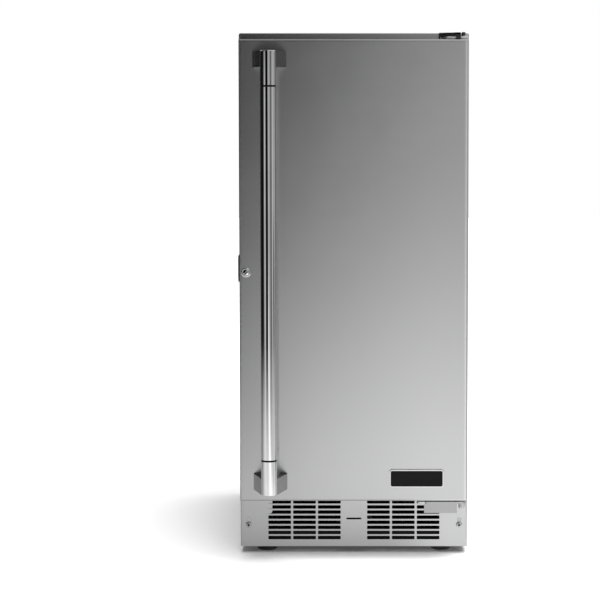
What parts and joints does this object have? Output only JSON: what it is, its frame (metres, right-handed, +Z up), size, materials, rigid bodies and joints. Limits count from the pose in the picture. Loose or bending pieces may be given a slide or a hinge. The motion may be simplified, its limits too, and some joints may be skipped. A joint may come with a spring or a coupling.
{
  "type": "outdoor refrigerator",
  "caption": "Narrow stainless outdoor refrigerator with one hinged lockable door, a tubular handle, wire shelves, a slotted kick plate and levelling legs.",
  "frame": {"origin": "on the floor, midway between the cabinet's sides and midway between the handle's front and the cabinet's back", "axes": "+X right seen from the front, -Y towards the person in front of the door, +Z up"},
  "size_m": [0.378, 0.6766, 0.865],
  "materials": {
    "stainless": "satin",
    "chrome": "polished",
    "satin_zinc": "satin",
    "black_plastic": "matte",
    "badge_black": "gloss",
    "black_paint": "satin",
    "hinge_steel": "satin",
    "galvanised": "matte",
    "foam": "matte",
    "white_plastic": "satin",
    "control_plastic": "satin",
    "button_plastic": "satin",
    "shelf_wire": "satin",
    "gasket_rubber": "matte",
    "black_rubber": "matte",
    "copper": "satin",
    "coil_aluminium": "satin",
    "screw_steel": "satin",
    "nylon": "satin",
    "circuit_board": "satin",
    "dark_acrylic": "gloss",
    "frosted_lens": "satin"
  },
  "bodies": {
    "cabinet": {"back_panel": "galvanised", "base_pan": "black_paint", "bay_cover": "galvanised", "cabinet_foam": "foam", "compressor": "black_paint", "compressor_mounts": "black_rubber", "condenser": "coil_aluminium", "condenser_fan_motor": "galvanised", "control_board": "circuit_board", "control_housing": "control_plastic", "display_window": "dark_acrylic", "drain_pan": "black_plastic", "drain_tube": "white_plastic", "duct_cover": "white_plastic", "duct_fan_motor": "galvanised", "evaporator": "coil_aluminium", "fan_shroud": "black_plastic", "filter_drier": "copper", "hinge_pins": "hinge_steel", "hinge_screws": "screw_steel", "inner_liner": "white_plastic", "kick_plate": "stainless", "light_lens": "frosted_lens", "lock_strike": "stainless", "lower_hinge_bracket": "hinge_steel", "machine_deck": "galvanised", "outer_case": "stainless", "panel_screws": "screw_steel", "power_gland": "black_plastic", "refrigerant_lines": "copper", "shelf_lower": "shelf_wire", "shelf_middle": "shelf_wire", "shelf_racks": "white_plastic", "shelf_upper": "shelf_wire", "sill_rail": "stainless", "upper_hinge_bracket": "black_paint"},
    "door": {"door_skin": "stainless", "door_foam": "foam", "door_liner": "white_plastic", "door_gasket": "gasket_rubber", "handle_tube": "chrome", "handle_caps": "chrome", "handle_rings": "black_plastic", "handle_posts": "satin_zinc", "handle_screws": "screw_steel", "badge_frame": "chrome", "badge_inlay": "badge_black", "lock_housing": "chrome", "hinge_bushes": "nylon"},
    "lock": {"lock_plug": "chrome", "lock_cam": "satin_zinc"},
    "condenser_fan": {"condenser_fan": "black_plastic"},
    "duct_fan": {"duct_fan": "black_plastic"},
    "light_button": {"button_light": "button_plastic"},
    "colder_button": {"button_colder": "button_plastic"},
    "warmer_button": {"button_warmer": "button_plastic"},
    "front_left_leg": {"leg_front_left": "black_plastic"},
    "front_right_leg": {"leg_front_right": "black_plastic"},
    "rear_left_leg": {"leg_rear_left": "black_plastic"},
    "rear_right_leg": {"leg_rear_right": "black_plastic"}
  },
  "joints": [
    {"name": "door_hinge", "type": "hinge", "parent": "cabinet", "child": "door", "pos_m": [0.1785, -0.24965, 0.475], "axis": [0, 0, 1], "range_deg": [0, 110]},
    {"name": "lock_turn", "type": "hinge", "parent": "door", "child": "lock", "pos_m": [-0.1754, -0.27165, 0.474], "axis": [0, 1, 0], "range_deg": [0, 90]},
    {"name": "condenser_fan_spin", "type": "hinge", "parent": "cabinet", "child": "condenser_fan", "pos_m": [0, -0.09765, 0.05925], "axis": [0, 1, 0], "continuous": true},
    {"name": "duct_fan_spin", "type": "hinge", "parent": "cabinet", "child": "duct_fan", "pos_m": [0, 0.255, 0.722], "axis": [0, 1, 0], "continuous": true},
    {"name": "light_button_press", "type": "slide", "parent": "cabinet", "child": "light_button", "axis": [0, 1, 0], "range_m": [0, 0.002], "stiffness_N_per_m": 600},
    {"name": "colder_button_press", "type": "slide", "parent": "cabinet", "child": "colder_button", "axis": [0, 1, 0], "range_m": [0, 0.002], "stiffness_N_per_m": 600},
    {"name": "warmer_button_press", "type": "slide", "parent": "cabinet", "child": "warmer_button", "axis": [0, 1, 0], "range_m": [0, 0.002], "stiffness_N_per_m": 600},
    {"name": "front_left_leg_screw", "type": "slide", "parent": "cabinet", "child": "front_left_leg", "axis": [0, 0, -1], "range_m": [0, 0.022]},
    {"name": "front_right_leg_screw", "type": "slide", "parent": "cabinet", "child": "front_right_leg", "axis": [0, 0, -1], "range_m": [0, 0.022]},
    {"name": "rear_left_leg_screw", "type": "slide", "parent": "cabinet", "child": "rear_left_leg", "axis": [0, 0, -1], "range_m": [0, 0.022]},
    {"name": "rear_right_leg_screw", "type": "slide", "parent": "cabinet", "child": "rear_right_leg", "axis": [0, 0, -1], "range_m": [0, 0.022]}
  ]
}
